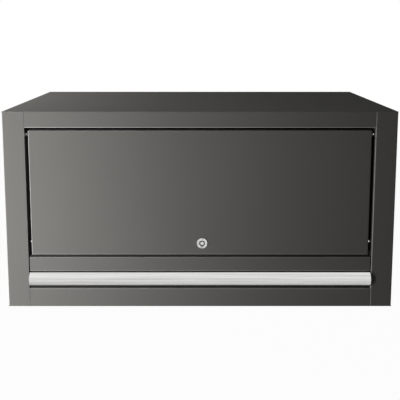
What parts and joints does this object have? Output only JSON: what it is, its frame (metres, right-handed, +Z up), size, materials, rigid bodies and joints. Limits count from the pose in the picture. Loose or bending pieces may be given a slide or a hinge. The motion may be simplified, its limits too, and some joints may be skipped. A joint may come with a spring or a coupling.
{
  "type": "wall-mounted tool cabinet",
  "caption": "Wide, low steel wall cabinet with a lockable flip-up door on gas struts and a full-width brushed pull.",
  "frame": {"origin": "middle of the four wall holes, on the back face that lies on the wall", "axes": "+X along the width to the right seen from the front, +Y back into the wall, +Z up"},
  "size_m": [0.68, 0.2876, 0.35],
  "materials": {
    "body_paint": "satin powder coat",
    "brushed_trim": "brushed along its length",
    "lock_chrome": "polished",
    "pin_steel": "bright",
    "zinc_steel": "zinc plated",
    "strut_black": "satin black",
    "strut_chrome": "polished",
    "strut_plastic": "matt",
    "nylon": "matt black",
    "bumper_rubber": "matt"
  },
  "bodies": {
    "carcass": {"left_side_panel": "body_paint", "right_side_panel": "body_paint", "top_panel": "body_paint", "bottom_panel": "body_paint", "back_panel": "body_paint", "back_rivets": "zinc_steel", "upper_hanging_rail": "zinc_steel", "lower_hanging_rail": "zinc_steel", "left_hinge_plate": "zinc_steel", "left_hinge_pin": "pin_steel", "left_strike_plate": "zinc_steel", "left_strut_bracket": "body_paint", "right_hinge_plate": "zinc_steel", "right_hinge_pin": "pin_steel", "right_strike_plate": "zinc_steel", "right_strut_bracket": "body_paint", "carcass_ball_studs": "zinc_steel", "door_stops": "zinc_steel", "door_bumpers": "bumper_rubber", "hinge_washers": "nylon"},
    "door": {"door_panel": "body_paint", "door_inner_panel": "body_paint", "hinge_bushes": "nylon", "pull_carrier": "body_paint", "pull_trim": "brushed_trim", "lock_housing": "lock_chrome", "lock_nut": "zinc_steel", "rod_guides": "nylon", "door_strut_brackets": "zinc_steel", "door_ball_studs": "zinc_steel"},
    "lock": {"lock_plug": "lock_chrome", "lock_cam": "zinc_steel", "cam_screw": "zinc_steel"},
    "left_rod": {"left_lock_rod": "pin_steel"},
    "left_cylinder": {"left_strut_cylinder": "strut_black", "left_cylinder_socket": "strut_plastic"},
    "left_plunger": {"left_strut_rod": "strut_chrome", "left_rod_socket": "strut_plastic"},
    "right_rod": {"right_lock_rod": "pin_steel"},
    "right_cylinder": {"right_strut_cylinder": "strut_black", "right_cylinder_socket": "strut_plastic"},
    "right_plunger": {"right_strut_rod": "strut_chrome", "right_rod_socket": "strut_plastic"}
  },
  "joints": [
    {"name": "door_hinge", "type": "hinge", "parent": "carcass", "child": "door", "pos_m": [0, -0.274, 0.135], "axis": [-1, 0, 0], "range_deg": [0, 90]},
    {"name": "lock_turn", "type": "hinge", "parent": "door", "child": "lock", "pos_m": [0.0036, -0.28, -0.058], "axis": [0, 1, 0], "range_deg": [0, 90]},
    {"name": "left_rod_slide", "type": "slide", "parent": "door", "child": "left_rod", "axis": [-1, 0, 0], "range_m": [0, 0.01697]},
    {"name": "right_rod_slide", "type": "slide", "parent": "door", "child": "right_rod", "axis": [1, 0, 0], "range_m": [0, 0.017]},
    {"name": "left_strut_turn", "type": "hinge", "parent": "carcass", "child": "left_cylinder", "pos_m": [-0.284, -0.1304, 0.11466], "axis": [-1, 0, 0], "range_deg": [0, 45]},
    {"name": "left_plunger_turn", "type": "hinge", "parent": "door", "child": "left_plunger", "pos_m": [-0.284, -0.244, -0.0069], "axis": [-1, 0, 0], "range_deg": [-45, 0]},
    {"name": "right_strut_turn", "type": "hinge", "parent": "carcass", "child": "right_cylinder", "pos_m": [0.284, -0.1304, 0.11466], "axis": [-1, 0, 0], "range_deg": [0, 45]},
    {"name": "right_plunger_turn", "type": "hinge", "parent": "door", "child": "right_plunger", "pos_m": [0.284, -0.244, -0.0069], "axis": [-1, 0, 0], "range_deg": [-45, 0]}
  ],
  "couplings": [
    {"joint": "lock_turn", "follows": "left_rod_slide", "rad_per_m": 92.56},
    {"joint": "right_rod_slide", "follows": "left_rod_slide", "ratio": 1},
    {"joint": "left_strut_turn", "follows": "door_hinge", "ratio": 0.5},
    {"joint": "left_plunger_turn", "follows": "door_hinge", "ratio": -0.5},
    {"joint": "right_strut_turn", "follows": "door_hinge", "ratio": 0.5},
    {"joint": "right_plunger_turn", "follows": "door_hinge", "ratio": -0.5}
  ]
}
